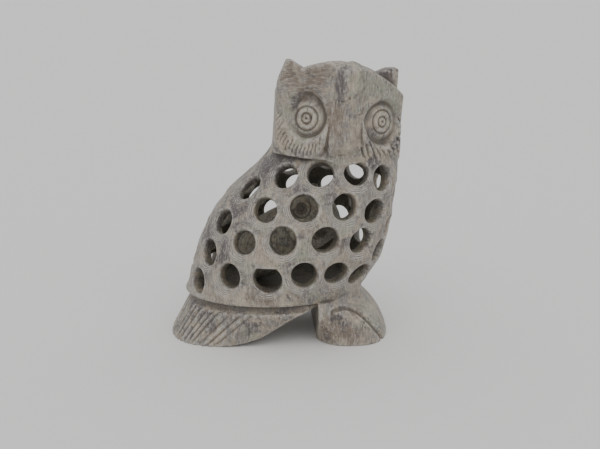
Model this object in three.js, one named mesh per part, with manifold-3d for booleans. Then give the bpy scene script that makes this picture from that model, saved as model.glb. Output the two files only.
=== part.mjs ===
// A small soapstone owl, carved as an open lattice, with a loose baby owl left inside its hollow body.
// Millimetres, +Z up. The tail lies along -X and the feet along +X, and the face is turned towards -Y.
// The origin is on the floor, under the middle of the figure's box.
// Angles around the body are in degrees, from -Y towards +X.

import * as THREE from "three";
import { mergeVertices } from "three/addons/utils/BufferGeometryUtils.js";
import Module from "manifold-3d";

// Body: an egg that leans forward, given by its back, chest and side at six heights
const BODY_HEIGHTS = [15.5, 27, 39, 51, 61, 70];
const BACK_X = [-37.9, -34.9, -30.6, -23.3, -12.5, -4.5];
const CHEST_X = [26, 33.7, 37.3, 39.3, 39.9, 39.3];
const SIDE_Y = [25, 27, 27.3, 26, 23, 18.5];
const BODY_TOP = 69;
const BODY_SIDES = 28;
const BODY_LEVELS = 6;
const WALL = 4.4;
const CAVITY = { floor: 18.5, top: 67, sides: 18, levels: 5, closed: 0.72, opening: 3 };

// Lattice: rows of round holes that dip towards the front and the back
const HOLE = { radius: 4.6, taper: 0.86, depth: 10.4, proud: 2, nearSides: 11, farSides: 8 };
const NEAR_DIP_POWER = 4;
const FAR_DIP_POWER = 2;
const ROWS = [
  { height: 62.6, dip: 11, near: [-61, -37, -10, 19.5, 48], far: 7, farHeight: 61.5 },
  { height: 51.1, dip: 12, near: [-61, -32, -7, 20, 46.5], far: 8, farHeight: 51.1 },
  { height: 39.8, dip: 11.5, near: [-62, -35.5, -11.5, 14, 40], far: 9, farHeight: 41.5 },
  { height: 27.2, dip: 8, near: [-65.5, -37.5, -12.5, 8.5, 29.5, 52], far: 8, farHeight: 30 },
  { height: 64, dip: 0, near: [-91], far: 0 },
];

// Base: a fanned tail and a block of feet, with an arch cut straight through between them
const RIM = { centre: [-6, 0], half: [32, 25] };
const GROOVE = { low: 12.6, high: 16, depth: 2.8 };
const TAIL_FLOOR = { centre: [-20, 0], half: [23.5, 21.5], power: 2.5 };
const TAIL_TOP = { centre: [-6, 0], half: [31, 24], power: 2 };
const FEATHERS = { pitch: 7.2, first: -175, last: -5, depth: 0.9 };
const FOOT_FLOOR = { centre: [22, 0], half: [14.4, 23.2], power: 2.6 };
const FOOT_TOP = { centre: [4, 0], half: [22.2, 23.6], power: 2 };
const FOOT_HEIGHT = 15.8;
const INSTEP = 1.8;
const FOOT_BACK_X = 9.5;
const ARCH = [[-23, 0], [-16.5, 1.2], [-10.5, 3.2], [-4.5, 7], [1.5, 10.8], [FOOT_BACK_X, 13.8]];
const TOE_LINE = [[70, 0.9], [61, 0.88], [56, 0.76], [58, 0.52], [57, 0.3], [47, 0.02]];
const TOE_GROOVE = 0.8;
const TOE_DIMPLE = { angle: 88, height: 0.58, radius: 5, depth: 1.3 };

// Head: a wedge with two flat face panels that meet in a ridge, under a rounded roof with two ears
// The eye's rings are turned from a profile of radius and height, from the pupil out and under to the axis
const EYE_RINGS = [[0, 1.3], [1.1, 0.7], [1.6, 1.4], [2.1, 0.8], [3.3, 0.7], [3.8, 1.2], [4.4, -0.9]];
const EYE_PROFILE = [...EYE_RINGS, [0, -1.4]];
const MOTHER = {
  size: 1,
  sides: 16,
  ridge: [17.4, -27.4],
  panels: [{ corner: [-4.9, -14.6], eye: 13.4 }, { corner: [40.2, -7.6], eye: 20.4 }],
  back: [[40.2, 4], [35, 17], [24, 22.5], [11, 22.5], [0, 17], [-4.8, 5]],
  bottom: 67.6,
  eyeHeight: 79.6,
  roof: { centre: [17.4, -13], top: 99.7, half: [30, 44, 30] },
  ears: [
    {
      outline: [[-6, 80], [-5.1, 90], [-3.6, 95.4], [-2.4, 98], [-1, 98], [2, 97], [5, 96], [6, 80]],
      from: -24,
      to: -8,
    },
    {
      outline: [[29, 80], [29, 93.6], [30.5, 95], [33.2, 97.2], [37, 97.5], [37.2, 80]],
      from: -10,
      to: -2,
    },
  ],
  socket: { half: [9.6, 7.9], depth: 2, reach: 8 },
  disc: { half: [12, 13.6], proud: 0.5, thickness: 5 },
};
const HEAD_ROLL = 3.4;

// Baby owl: about half the mother's size, leaning inside her
const BABY = {
  size: 0.52,
  sides: 10,
  ridge: [0, -12],
  panels: [{ corner: [-10.6, -4.6], eye: 7.4 }, { corner: [10.6, -4.6], eye: 7.4 }],
  back: [[10.4, 2], [7, 8.5], [-7, 8.5], [-10.4, 2]],
  bottom: 24.5,
  eyeHeight: 33,
  roof: { centre: [0, -4], top: 42, half: [15, 20, 14] },
  ears: [
    { outline: [[-10.6, 33], [-9.6, 40.4], [-8.4, 41.6], [-5, 39.6], [-5, 33]], from: -7, to: -1 },
    { outline: [[10.6, 33], [5, 33], [5, 39.6], [8.4, 41.6], [9.6, 40.4]], from: -7, to: -1 },
  ],
  socket: { half: [4.6, 4], depth: 1, reach: 4.2 },
  disc: { half: [5.6, 6.8], proud: 0.3, thickness: 2.6 },
};
const BABY_BODY = { heights: [0, 9, 18, 27], halfX: [7.5, 10.4, 10.6, 9], halfY: [7, 9.4, 9.6, 8] };
const BABY_LEAN = { side: 52, forward: 12 };
const BABY_FOOT = [-16.5, 1];
const CLEARANCE = 0.35;

// Cutting slabs reach this far past the figure, and joined forms run this deep into each other
const BEYOND = 60;
const JOIN = 1;

const STONE = { color: 0x9a9189, roughness: 0.62, metalness: 0 };
const UP = new THREE.Vector3(0, 0, 1);
const radians = THREE.MathUtils.degToRad;

const wasm = await Module();
wasm.setup();

// Solids and geometries

function solidOf(geometry) {
  const bare = geometry.clone();
  bare.deleteAttribute("normal");
  bare.deleteAttribute("uv");
  const merged = mergeVertices(bare, 1e-4);
  return new wasm.Manifold(
    new wasm.Mesh({
      numProp: 3,
      vertProperties: merged.attributes.position.array,
      triVerts: new Uint32Array(merged.index.array),
    }),
  );
}

function geometryOf(solid) {
  const mesh = solid.getMesh();
  const geometry = new THREE.BufferGeometry();
  geometry.setAttribute("position", new THREE.BufferAttribute(mesh.vertProperties, 3));
  geometry.setIndex(new THREE.BufferAttribute(mesh.triVerts, 1));
  geometry.computeVertexNormals();
  return geometry;
}

// A point on a ring: an ellipse whose power above 2 makes it squarer.
function ringPoint({ centre, half, power = 2 }, angle, share = 1) {
  const bend = (value) => Math.sign(value) * Math.abs(value) ** (2 / power) * share;
  return [centre[0] + half[0] * bend(Math.sin(angle)), centre[1] - half[1] * bend(Math.cos(angle))];
}

function mixRings(low, high, share) {
  const mix = (a, b) => THREE.MathUtils.lerp(a, b, share);
  return {
    centre: low.centre.map((value, i) => mix(value, high.centre[i])),
    half: low.half.map((value, i) => mix(value, high.half[i])),
    power: mix(low.power ?? 2, high.power ?? 2),
  };
}

// A closed form whose level rings come from ring(t) and heights from height(t), with t from 0 to 1.
function loft(sides, levels, ring, height, inset = () => 0) {
  const column = new THREE.CylinderGeometry(1, 1, 1, sides, levels).rotateX(Math.PI / 2);
  const position = column.attributes.position;
  for (let i = 0; i < position.count; i++) {
    const t = position.getZ(i) + 0.5;
    const angle = Math.atan2(position.getX(i), -position.getY(i));
    const radius = Math.hypot(position.getX(i), position.getY(i));
    const level = ring(t);
    const half = level.half.map((value) => value - inset(angle));
    position.setXYZ(i, ...ringPoint({ ...level, half }, angle, radius), height(t));
  }
  return solidOf(column);
}

// A flat outline pushed along +Z between two heights
function prism(outline, low, high) {
  const shape = new THREE.Shape(outline.map(([x, y]) => new THREE.Vector2(x, y)));
  const geometry = new THREE.ExtrudeGeometry(shape, { depth: high - low, bevelEnabled: false });
  return geometry.translate(0, 0, low);
}

function rectangle(left, right, low, high) {
  return [[left, low], [right, low], [right, high], [left, high]];
}

// An outline in X and Z pushed along Y
function slab(outline, from, to) {
  return solidOf(prism(outline, -to, -from).rotateX(Math.PI / 2));
}

// Places a form whose own +Z looks outward and whose +Y looks up.
function place(geometry, point, outward, up = UP) {
  const side = new THREE.Vector3().crossVectors(up, outward).normalize();
  const level = new THREE.Vector3().crossVectors(outward, side);
  const basis = new THREE.Matrix4().makeBasis(side, level, outward);
  return solidOf(geometry.applyMatrix4(basis).translate(...point.toArray()));
}

// Body

const profiles = [BACK_X, CHEST_X, SIDE_Y].map(
  (values) => new THREE.CubicInterpolant(BODY_HEIGHTS, values, 1),
);

function bodyRing(z, inset = 0) {
  const height = THREE.MathUtils.clamp(z, BODY_HEIGHTS[0], BODY_HEIGHTS.at(-1));
  const [back, chest, side] = profiles.map((line) => line.evaluate(height)[0]);
  return { centre: [(back + chest) / 2, 0], half: [(chest - back) / 2 - inset, side - inset] };
}

function bodyPoint(angle, z) {
  return new THREE.Vector3(...ringPoint(bodyRing(z), angle), z);
}

function bodyNormal(angle, z) {
  const turn = 0.02;
  const rise = 0.5;
  const along = bodyPoint(angle + turn, z).sub(bodyPoint(angle - turn, z));
  const up = bodyPoint(angle, z + rise).sub(bodyPoint(angle, z - rise));
  return along.cross(up).normalize();
}

function body() {
  const height = (t) => THREE.MathUtils.lerp(BODY_HEIGHTS[0], BODY_TOP, t);
  return loft(BODY_SIDES, BODY_LEVELS, (t) => bodyRing(height(t)), height);
}

// The hollow follows the body's outer form and closes in a little at its floor and its top.
function hollow() {
  const height = (t) => THREE.MathUtils.lerp(CAVITY.floor, CAVITY.top, t);
  const ring = (t) => {
    const level = bodyRing(height(t), WALL);
    const openness = Math.min(1, CAVITY.closed + CAVITY.opening * Math.min(t, 1 - t));
    return { ...level, half: level.half.map((value) => value * openness) };
  };
  return loft(CAVITY.sides, CAVITY.levels, ring, height);
}

// The holes seen from the near side are where the carver drilled them; the far ones share what is left.
function rowHoles({ height, dip, near, far, farHeight }) {
  const gap = near[0] + 360 - near.at(-1);
  const at = (degrees, level, power, sides) => {
    const angle = radians(degrees);
    return { angle, z: level - dip * Math.abs(Math.sin(angle)) ** power, sides };
  };
  return [
    ...near.map((degrees) => at(degrees, height, NEAR_DIP_POWER, HOLE.nearSides)),
    ...Array.from({ length: far }, (_, k) =>
      at(near.at(-1) + (gap * (k + 1)) / (far + 1), farHeight, FAR_DIP_POWER, HOLE.farSides),
    ),
  ];
}

function drillHole({ angle, z, sides }) {
  const { radius, taper, depth, proud } = HOLE;
  const outward = bodyNormal(angle, z);
  const drill = new THREE.CylinderGeometry(radius, radius * taper, depth, sides).rotateX(Math.PI / 2);
  return place(drill, bodyPoint(angle, z).addScaledVector(outward, proud - depth / 2), outward);
}

// Base

// Shallow feather grooves run down the tail: every second line of the tail's column is drawn in.
function featherInset(angle) {
  const { pitch, first, last, depth } = FEATHERS;
  const degrees = THREE.MathUtils.radToDeg(angle);
  const fromFront = degrees > 90 ? degrees - 360 : degrees;
  const grooved = fromFront > first && fromFront < last;
  return grooved && Math.round((fromFront + 90) / (pitch / 2)) % 2 ? depth : 0;
}

function tail() {
  const ring = (t) => mixRings(TAIL_FLOOR, TAIL_TOP, t);
  return loft(720 / FEATHERS.pitch, 1, ring, (t) => GROOVE.low * t, featherInset);
}

function footRing(t) {
  return mixRings(FOOT_FLOOR, FOOT_TOP, t ** INSTEP);
}

function footPoint(degrees, t) {
  return new THREE.Vector3(...ringPoint(footRing(t), radians(90 - degrees)), FOOT_HEIGHT * t);
}

// One side's carved toe line, a round groove that arches over the foot and runs down to the nose
function toeLine() {
  const route = new THREE.CatmullRomCurve3(TOE_LINE.map(([angle, t]) => footPoint(angle, t)));
  const section = new THREE.Shape().absarc(0, 0, TOE_GROOVE, 0, 2 * Math.PI);
  const options = { steps: 9, curveSegments: 2, extrudePath: route };
  return solidOf(new THREE.ExtrudeGeometry(section, options));
}

function toeDimple() {
  const { angle, height, radius, depth } = TOE_DIMPLE;
  const scoop = new THREE.SphereGeometry(radius, 10, 6);
  return solidOf(scoop.translate(...footPoint(angle, height).toArray()).translate(0, depth - radius, 0));
}

function mirrored(solid) {
  const geometry = geometryOf(solid).scale(1, -1, 1);
  geometry.index.array.reverse();
  return solidOf(geometry);
}

function foot() {
  const block = loft(BODY_SIDES, 3, footRing, (t) => FOOT_HEIGHT * t);
  const front = slab(rectangle(FOOT_BACK_X, BEYOND, -JOIN, BEYOND), -BEYOND, BEYOND);
  const carving = toeLine().add(toeDimple());
  return block.intersect(front).subtract(carving).subtract(mirrored(carving));
}

function base() {
  const neckRing = { ...RIM, half: RIM.half.map((value) => value - GROOVE.depth) };
  const neckHeight = (t) => THREE.MathUtils.lerp(GROOVE.low - JOIN, GROOVE.high, t);
  const neck = loft(BODY_SIDES, 1, () => neckRing, neckHeight);
  const behind = slab(rectangle(-BEYOND, FOOT_BACK_X + JOIN, -JOIN, BEYOND), -BEYOND, BEYOND);
  const opening = slab([...ARCH, [FOOT_BACK_X, -JOIN], [ARCH[0][0], -JOIN]], -BEYOND, BEYOND);
  return tail().intersect(behind).add(foot()).add(neck).subtract(opening);
}

// Heads

// A face panel's own axes: along it from the ridge, and outward from it.
function panelAxes(head, { corner }) {
  const along = new THREE.Vector3(corner[0] - head.ridge[0], corner[1] - head.ridge[1], 0);
  const length = along.length();
  const outward = new THREE.Vector3(along.y, -along.x, 0).normalize();
  return { along: along.normalize(), outward: outward.y > 0 ? outward.negate() : outward, length };
}

function eyePoint(head, panel, proud) {
  const { along, outward } = panelAxes(head, panel);
  return new THREE.Vector3(...head.ridge, head.eyeHeight)
    .addScaledVector(along, panel.eye)
    .addScaledVector(outward, proud);
}

function faceDisc(head, panel) {
  const { half, proud, thickness } = head.disc;
  const round = new THREE.CylinderGeometry(1, 1, thickness, head.sides + 4);
  const disc = round.rotateX(Math.PI / 2).scale(...half, 1);
  const { along, outward, length } = panelAxes(head, panel);
  const inward = Math.min(0, length - half[0] - panel.eye);
  const middle = eyePoint(head, panel, proud - thickness / 2).addScaledVector(along, inward);
  return place(disc, middle, outward);
}

function socket(head, panel) {
  const { half, depth, reach } = head.socket;
  const share = Math.sqrt(1 - ((reach - depth) / reach) ** 2);
  const ball = new THREE.SphereGeometry(1, head.sides, head.sides / 2);
  const scoop = ball.scale(half[0] / share, half[1] / share, reach);
  return place(scoop, eyePoint(head, panel, reach - depth), panelAxes(head, panel).outward);
}

function eye(head, panel) {
  const profile = EYE_PROFILE.map((point) => new THREE.Vector2(...point).multiplyScalar(head.size));
  const rings = new THREE.LatheGeometry(profile.reverse(), head.sides).rotateX(Math.PI / 2);
  return place(rings, eyePoint(head, panel, -head.socket.depth), panelAxes(head, panel).outward);
}

function headSolid(head) {
  const { centre, top, half } = head.roof;
  const springing = top - half[2];
  const outline = [head.panels[0].corner, head.ridge, head.panels[1].corner, ...head.back];
  const wedge = solidOf(prism(outline, head.bottom, top + JOIN));
  const walls = slab(rectangle(-BEYOND, BEYOND, 0, springing), -BEYOND, BEYOND);
  const dome = new THREE.SphereGeometry(1, head.sides + 6, head.sides).rotateX(Math.PI / 2).scale(...half);
  const rounded = walls.add(solidOf(dome.translate(...centre, springing)));
  const ears = head.ears.map(({ outline: ear, from, to }) => slab(ear, from, to));
  const roof = ears.reduce((made, ear) => made.add(ear), rounded);
  let made = wedge.intersect(roof);
  for (const panel of head.panels) {
    made = made.add(faceDisc(head, panel));
  }
  for (const panel of head.panels) {
    made = made.subtract(socket(head, panel)).add(eye(head, panel));
  }
  return made;
}

function rolledHead() {
  const pivot = [MOTHER.ridge[0], 0, MOTHER.eyeHeight];
  const geometry = geometryOf(headSolid(MOTHER)).translate(-pivot[0], 0, -pivot[2]);
  return solidOf(geometry.rotateY(radians(HEAD_ROLL)).translate(...pivot));
}

// Figures

function motherOwl() {
  const shell = body().add(base()).add(rolledHead()).subtract(hollow());
  return ROWS.flatMap(rowHoles).reduce((made, hole) => made.subtract(drillHole(hole)), shell);
}

function babyOwl() {
  const { heights, halfX, halfY } = BABY_BODY;
  const lines = [halfX, halfY].map((values) => new THREE.CubicInterpolant(heights, values, 1));
  const height = (t) => heights.at(-1) * t;
  const ring = (t) => ({ centre: [0, 0], half: lines.map((line) => line.evaluate(height(t))[0]) });
  const upright = loft(20, 4, ring, height).add(headSolid(BABY));
  const leaning = geometryOf(upright).rotateX(radians(BABY_LEAN.forward)).rotateY(radians(BABY_LEAN.side));
  leaning.computeBoundingBox();
  const rest = CAVITY.floor + CLEARANCE - leaning.boundingBox.min.z;
  return solidOf(leaning.translate(...BABY_FOOT, rest));
}

function part(name, solid) {
  const mesh = new THREE.Mesh(geometryOf(solid), new THREE.MeshStandardMaterial(STONE));
  mesh.name = name;
  return mesh;
}

// The baby owl lies loose, so it is a piece of its own. Both move together to stand over the origin.
function figurine() {
  const group = new THREE.Group();
  group.add(part("owl", motherOwl()), part("baby_owl", babyOwl()));
  const middle = new THREE.Box3().setFromObject(group, true).getCenter(new THREE.Vector3());
  group.children.forEach((mesh) => mesh.geometry.translate(-middle.x, -middle.y, 0));
  return group;
}

export default figurine();
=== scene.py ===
"""A soapstone owl, carved as an open lattice, with a loose baby owl left inside her hollow body.

The carving is worked out as signed distances in millimetres, negative inside the stone. In the carver's
frame +Z is up, the tail lies along -X, the feet along +X, and the face looks towards -Y. Angles round the
body are in degrees, from -Y towards +X. Each field is meshed, thinned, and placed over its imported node, in
metres.
"""

import math

import bpy
import numpy as np
from mathutils import Matrix, Vector


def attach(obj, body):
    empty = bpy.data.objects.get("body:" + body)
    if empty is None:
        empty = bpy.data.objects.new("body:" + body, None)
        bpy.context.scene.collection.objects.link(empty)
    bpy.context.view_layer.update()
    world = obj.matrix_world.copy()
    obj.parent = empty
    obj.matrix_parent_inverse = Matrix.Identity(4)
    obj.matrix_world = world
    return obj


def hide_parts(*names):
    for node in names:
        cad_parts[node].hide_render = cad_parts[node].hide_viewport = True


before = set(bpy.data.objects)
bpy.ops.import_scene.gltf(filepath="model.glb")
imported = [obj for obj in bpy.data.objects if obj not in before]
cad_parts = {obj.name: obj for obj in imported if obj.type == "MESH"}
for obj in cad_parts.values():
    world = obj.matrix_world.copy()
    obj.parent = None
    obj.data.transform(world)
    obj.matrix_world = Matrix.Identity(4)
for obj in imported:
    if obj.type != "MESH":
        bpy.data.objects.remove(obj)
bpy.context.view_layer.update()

MM = 0.001
SEED = 7
SAMPLE_STEP = 0.32
BABY_STEP = 0.24
OWL_TRIANGLES = 190000
BABY_TRIANGLES = 60000
FAR_OUTSIDE = 6.0

# The middle of the figure's box, which stands over the origin
MIDDLE_X = -1.41

# Body
BODY_HEIGHTS = [15.5, 27, 39, 51, 61, 70]
BACK_X = [-37.9, -34.9, -30.6, -23.3, -12.5, -4.5]
CHEST_X = [26, 33.7, 37.3, 39.3, 39.9, 39.3]
SIDE_Y = [25, 27, 27.3, 26, 23, 18.5]
BODY_TOP = 69
WALL = 4.4
CAVITY_FLOOR = 18.5
CAVITY_TOP = 67
CAVITY_CLOSED = 0.72
CAVITY_OPENING = 3

# Lattice
HOLE_RADIUS = 4.72
HOLE_INNER_RADIUS = 4.1
HOLE_DEPTH = 8.4
HOLE_CLEAR = 1
HOLE_UNEVENNESS = 0.035
NEAR_DIP_POWER = 4
FAR_DIP_POWER = 2
ROWS = [
    {"height": 62.6, "dip": 11, "near": [-61, -37, -10, 19.5, 48], "far": 7, "far_height": 61.5},
    {"height": 51.1, "dip": 12, "near": [-61, -32, -7, 20, 46.5], "far": 8, "far_height": 51.1},
    {"height": 39.8, "dip": 11.5, "near": [-62, -35.5, -11.5, 14, 40], "far": 9, "far_height": 41.5},
    {"height": 27.2, "dip": 8, "near": [-65.5, -37.5, -12.5, 8.5, 29.5, 52], "far": 8, "far_height": 30},
    {"height": 64, "dip": 0, "near": [-91], "far": 0, "far_height": 64},
]
NEAR_SIZES = [
    [1, 0.96, 1, 0.98, 1],
    [1, 0.97, 1.05, 1, 1],
    [1, 0.95, 1.07, 1.03, 1],
    [1, 0.95, 1.12, 1.04, 0.98, 1],
    [1],
]
FLAT_TOPPED = (3, 2)
FLAT_TOP = 4.1
FLAT_TOPPED_DROP = 1.3
LIP_WIDTH = 2.7
LIP_DEPTH = 1.15
LIP_CLEAR = 0.7
LIP_ROOM = 2.2
THINNEST_WEB = 0.7
LIP_BLEND = 0.3
LIP_SIDE = (-0.6, -0.8)

# Base
RIM_CENTRE_X = -6
RIM_HALF = (32, 25)
GROOVE_LOW = 12.6
GROOVE_HIGH = 16
GROOVE_DEPTH = 2.8
TAIL_FLOOR = {"centre": -20, "half": (23.5, 21.5), "power": 2.5}
TAIL_TOP = {"centre": -6, "half": (31, 24), "power": 2}
FEATHER_PITCH = 7.2
FEATHER_SPAN = (-175, -5)
FEATHER_FADE = (8, 12)
FEATHER_DEPTH = 0.68
FEATHER_ROUNDNESS = 0.85
FOOT_FLOOR = {"centre": 22, "half": (14.4, 23.2), "power": 2.6}
FOOT_TOP = {"centre": 4, "half": (22.2, 23.6), "power": 2}
FOOT_HEIGHT = 15.8
INSTEP = 1.8
RIM_BLEND = 0.5
INSTEP_BLEND = 2.5
INSTEP_REACH = (12, 22)
FOOT_BACK_X = 9.5
ARCH = [(-23, 0), (-16.5, 1.2), (-10.5, 3.2), (-4.5, 7), (1.5, 10.8), (FOOT_BACK_X, 13.8)]
TOE_LINE = [
    (81, 0.76), (74, 0.83), (66, 0.86), (60, 0.86), (55, 0.8), (53, 0.68), (53, 0.5), (51, 0.28), (43, 0),
]
# What the height above the arch's slanted soffit is multiplied by to give the distance from it
ARCH_SLOPE_SHARE = 0.88
TOE_GROOVE = 0.85
TOE_DIMPLE = {"angle": 88, "height": 0.58, "radius": 5, "depth": 1.3}

# Heads, in their own upright frames. A panel's places are measured along it from the ridge, and its eye lies
# at "eye", "rise" above the eyes' common height. "bar" is the groove beside the beak and "bar_depth" its
# strength, "scallop" the step below the face disc, and "tuck" how far the panel's foot is cut back. Where
# "ring_scale" is under 1, the eye's rings are wider than they are tall.
HEAD_ROLL = 3.4
MOTHER = {
    "size": 1.0,
    "ridge": (17.4, -27.4),
    "panels": [
        {
            "corner": (-4.9, -14.6),
            "eye": 14.4,
            "rise": 0.55,
            "disc": (12.4, 14),
            "socket": (8.6, 8.3, 10.7, 7.2),
            "bar_depth": 0.5,
            "scallop": 0.6,
            "tuck": 0,
            "ring_scale": 1,
            "lash_aim": (-8.8, 28),
            "lash_pitch": 1.0,
            "lash_radii": (8.5, 13.2),
            "lash_depth": 0.55,
        },
        {
            "corner": (40.2, -7.6),
            "eye": 20.6,
            "rise": -0.1,
            "disc": (15, 14.6),
            "socket": (12.5, 10.8, 8.6, 8.8),
            "bar_depth": 0,
            "scallop": 0,
            "tuck": 1.8,
            "ring_scale": 0.88,
            "lash_aim": (-40, 41),
            "lash_pitch": 1.8,
            "lash_radii": (8.9, 15),
            "lash_depth": 1.0,
        },
    ],
    "back": [(40.2, 4), (35, 17), (24, 22.5), (11, 22.5), (0, 17), (-4.8, 5)],
    "bottom": 66.7,
    "eye_height": 79.6,
    "roof": {"centre": (17.4, -13), "top": 99.7, "half": (30, 44, 30), "front_dip": 1.6},
    "facet": (0.19, -0.3, 0.94, 103.1),
    "brows": [[(3, 96.5), (9, 99.4), (15, 100.4), (20, 100.1), (26, 97.8), (33, 93.8), (40.3, 88.3)]],
    "knobs": [
        [
            (10, 90), (10.8, 99.8), (11.4, 100.4), (16, 103.2), (20.3, 103.8), (22.5, 101.6), (24.5, 98.6),
            (26, 96), (26, 90),
        ],
    ],
    "ears": [
        {
            "outline": [
                (-6, 80), (-5.1, 90), (-3.3, 95.8), (-2, 98.9), (-0.5, 99), (2.3, 97.6), (4, 96.6), (8, 94),
                (9, 80),
            ],
            "span": (-24, -8),
        },
        {
            "outline": [(26.5, 80), (26.5, 91), (28.2, 95), (33, 97.4), (37.1, 97.7), (37.3, 80)],
            "span": (-10, -2),
        },
    ],
    "bar": 6.2,
    "chin_tuck": 2.4,
}
BABY_PANEL = {
    "eye": 7.4,
    "rise": 0,
    "disc": (5.6, 6.8),
    "socket": (8, 8, 9, 7.2),
    "bar_depth": 1.0,
    "scallop": 0,
    "tuck": 0,
    "ring_scale": 1,
    "lash_aim": (-8.8, 28),
    "lash_pitch": 1.6,
    "lash_radii": (8.1, 12.9),
    "lash_depth": 0.55,
}
BABY = {
    "size": 0.52,
    "ridge": (0, -12),
    "panels": [{"corner": (-10.6, -4.6), **BABY_PANEL}, {"corner": (10.6, -4.6), **BABY_PANEL}],
    "back": [(10.4, 2), (7, 8.5), (-7, 8.5), (-10.4, 2)],
    "bottom": 24.5,
    "eye_height": 33,
    "roof": {"centre": (0, -4), "top": 42, "half": (15, 20, 14), "front_dip": 0},
    "facet": (0, 0, 1, 43),
    "brows": [],
    "knobs": [],
    "ears": [
        {"outline": [(-10.6, 33), (-9.6, 40.4), (-8.4, 41.6), (-5, 39.6), (-5, 33)], "span": (-7, -1)},
        {"outline": [(5, 33), (5, 39.6), (8.4, 41.6), (9.6, 40.4), (10.6, 33)], "span": (-7, -1)},
    ],
    "bar": 3.0,
    "chin_tuck": 0,
}
EYE_RADII = [0, 0.3, 0.55, 1.3, 1.6, 1.95, 2.25, 3.5, 3.85, 4.3, 4.6, 4.9, 6.4]
EYE_RISES = [0.5, 0.6, 1.1, 1.15, 0.45, 0.5, 1.05, 0.95, 0.3, 0.25, 0.7, 0.55, 0]
SOCKET_DEPTH = 2.0
DISC_RISE = 0.55
DISC_LINE = 0.4
CHEEK_SWELL = 0.7
CHEEK_RADIUS = 10.3
CHEEK_WIDTH = 2.6
BAR_DEPTH = 0.9
LASH_SPAN = (218, 368)
ROOF_SLOPE = 0.6
BROW_FLOOR = 80
NECK_BLEND = 1.0
BEAK_BLEND = 5
BEAK_WIDTH = 5
CHIN_BLEND = 2.5
CHIN_REACH = (19, 27)
# Chips on the beak's ridge, in the head's frame: a place and a radius
NICKS = [
    (16.4, -28.1, 87.4, 1.4),
    (19.6, -26.7, 88.2, 1.4),
    (15.2, -27.6, 80.5, 0.8),
    (15.0, -27.6, 78.4, 0.7),
    (15.1, -27.6, 76.5, 0.8),
]
BABY_HEIGHTS = [0, 9, 18, 27]
BABY_HALF_X = [7.5, 10.4, 10.6, 9]
BABY_HALF_Y = [7, 9.4, 9.6, 8]
BABY_LEAN_SIDE = 52
BABY_LEAN_FORWARD = 12
BABY_FOOT = (-16.5, 1)
BABY_REST = CAVITY_FLOOR + 0.35
# The radius of the painted shade over each of the baby's eyes
BABY_EYE_SHADE = 2.4
BABY_STROKES = 24
BABY_STROKE_DEPTH = 0.35

# Where the stone is browner, paler, greener or darker, as judged. A few dark and brown streaks are painted
# shade, as marked below. A streak has its half-width and the places it runs through: two numbers are degrees
# round the body and a height, and three are millimetres.
STREAKS = {
    "warm": [
        # The last streak on the next line, on the right ear, is painted shade.
        (5, (-1, -16, 97), (8, -21, 96)), (4.5, (4, -20, 91)), (5, (34, -9, 96)),
        (3, (15, -26, 84), (14, -26, 80)), (2.2, (23, -22, 71)), (4, (12, -23, 7), (21, -23, 5)),
        (3.8, (-10, 20)), (2.4, (-55, 61)), (3, (-47, 50)), (2.2, (27, 37)), (2.8, (-52, 29)),
        (1.8, (-24, 56)), (2, (6, -20, 81)), (8, (10, 24, 80)), (7, (240, 30)), (6, (128, 38)),
        (6, (34, 6, 12)),
    ],
    "pale": [
        (2, (-40, 57)), (2, (-30, 45)), (2, (-12, 33)), (2, (0, 40), (4, 33)), (2, (12, 33)),
        (1.8, (8, 47)), (1.8, (-30, 18), (-12, 17)), (3, (4, 18)), (3.5, (6, -20, 80)),
        (2.9, (-2, -17, 73), (5, -20, 73)), (4.5, (22, -24, 94)), (2.5, (17, -22, 99)),
        (2.5, (19, -26, 70)), (3.3, (32, -14, 79)), (2.5, (32, -15, 68)), (2.5, (23, -21, 9), (32, -10, 9)),
        (1.6, (22, -16, 15)),
    ],
    "green": [
        (3.4, (18, -26, 68)), (4.5, (23, -24, 92), (37, -12, 88)), (2.8, (2, 35)), (2.4, (-27, 29)),
        (2, (-24, 44)), (2.4, (-68, 42)), (1.7, (1, -18, 88)), (2.4, (24, 45)), (2.8, (20, 22)),
        (1.7, (46, 42)), (1.4, (-2, 25)), (2.4, (-1, -17, 82)), (2.4, (4, -20, 74)), (4, (30, -15, 9)),
        (7, (26, 22, 90)), (6, (200, 36)), (5, (160, 52)),
    ],
    "dark": [
        (5.2, (-54, 64), (-66, 58), (-59, 50), (-52, 49)), (3, (-47, 59)), (3.6, (-68, 46), (-70, 37)),
        (2.8, (-48, 37), (-46, 32)), (2.4, (-16, 57)), (2.6, (4, 59), (10, 53)), (1.7, (-2, 42)),
        (2.2, (33, 65)), (2.1, (30, 38)), (2, (48, 40)), (1.6, (-2, 31)), (1.6, (13, 22)), (1.9, (33, 57)),
        (2, (52, 52)), (3, (-34, -10, 12), (-27, -18, 7)), (1.8, (-16, -22, 10), (-10, -23, 6)),
        # The first streak on the next line, along the neck groove under the rim, is painted shade.
        (2, (-3, -22, 14), (3, -23, 14)), (2.4, (17, -22, 10)), (1.5, (33, -18, 1)),
        # The second streak on the next line, over the left eye under its brow, is painted shade.
        (2, (16, -27, 96), (16, -27, 88)), (2.1, (6, -21, 88), (1, -18, 86)), (3, (28, -17, 74)),
        # The third streak on the next line, on the right ear, is painted shade.
        (2.1, (38, -10, 71)), (2.1, (30, -17, 64)), (4, (34, -9, 96)), (5, (205, 44)), (5, (170, 34)),
        (4, (120, 60)), (5, (20, 20, 84)), (4, (-34, 14, 6)),
    ],
}
# The part of the head where the file ran level, and not up and down
LEVEL_MARKS = (11, (2, -19, 95))

# What is measured on the finished surface for the chalky edges and the painted shade in grooves and recesses
FINE_REACH = 0.5
FINE_EDGE = 0.12
WIDE_REACH = 2.4
WIDE_EDGE = 0.8


# Distances

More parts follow.
